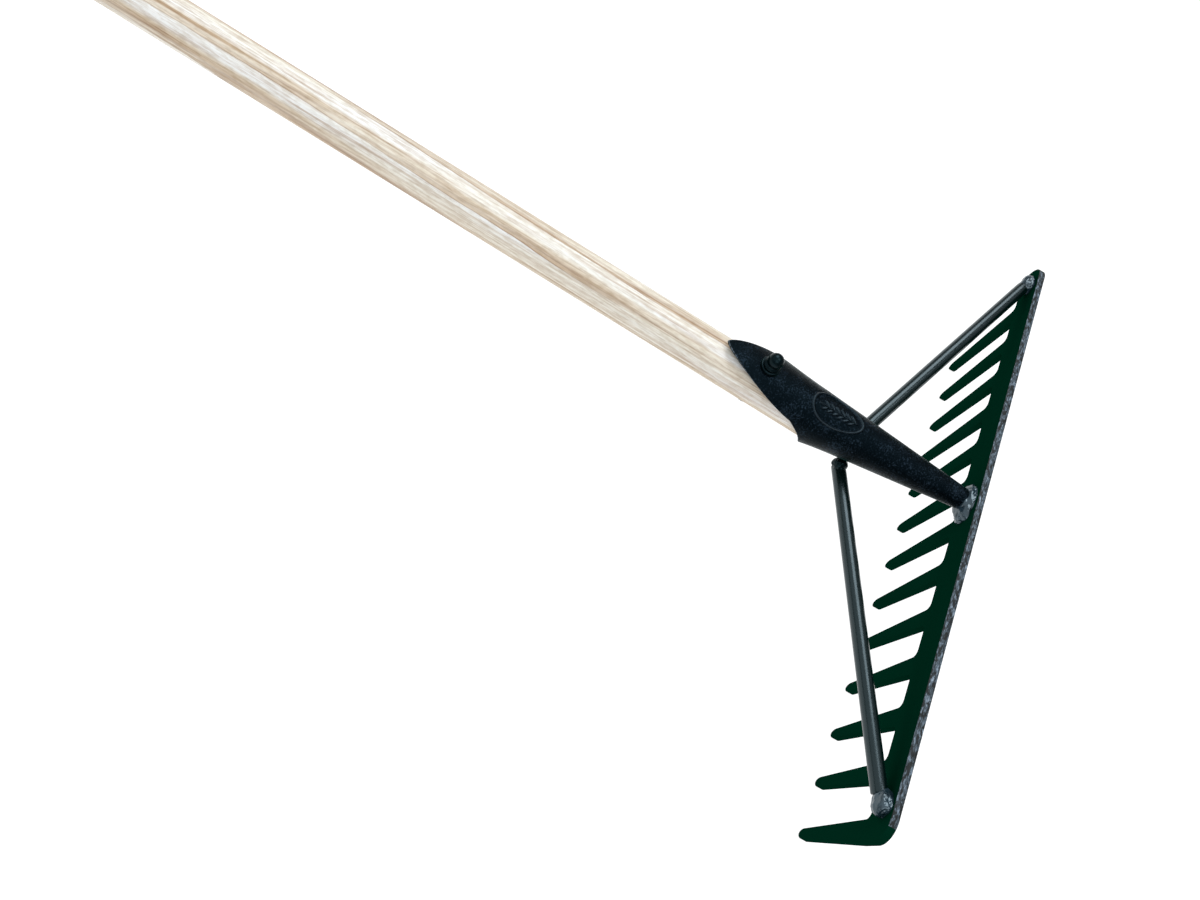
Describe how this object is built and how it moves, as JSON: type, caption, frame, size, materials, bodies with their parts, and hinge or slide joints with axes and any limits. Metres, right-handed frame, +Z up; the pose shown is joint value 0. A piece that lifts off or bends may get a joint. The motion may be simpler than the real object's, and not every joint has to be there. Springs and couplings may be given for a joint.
{
  "type": "garden rake",
  "caption": "Level-head garden rake: flat steel comb braced by straight round stays, rolled socket riveted to a long ash handle.",
  "frame": {"origin": "on the floor, under the middle of the rake's box", "axes": "+Y from the handle's butt towards the comb, +X along the comb, +Z up; the rake rests on its tooth tips and its butt"},
  "size_m": [0.4696, 1.5724, 0.1123],
  "materials": {
    "ash": "clear-varnished pale ash with brown grain streaks",
    "socket_steel": "near-black speckled powder coat",
    "rivet_steel": "near-black coat over steel",
    "comb_steel": "very dark green enamel, scratched along the back edge",
    "stay_steel": "blue-black satin coat",
    "weld": "glossy paint over rippled weld"
  },
  "bodies": {
    "root": {"handle": "ash", "socket": "socket_steel", "rivet": "rivet_steel", "rivet_washer": "rivet_steel", "rivet_rove": "rivet_steel", "head_plate": "comb_steel", "stay_left": "stay_steel", "stay_right": "stay_steel", "weld_socket_plate": "weld", "weld_stay_left_plate": "weld", "weld_stay_right_plate": "weld", "weld_stay_left_socket": "weld", "weld_stay_right_socket": "weld"}
  },
  "joints": []
}
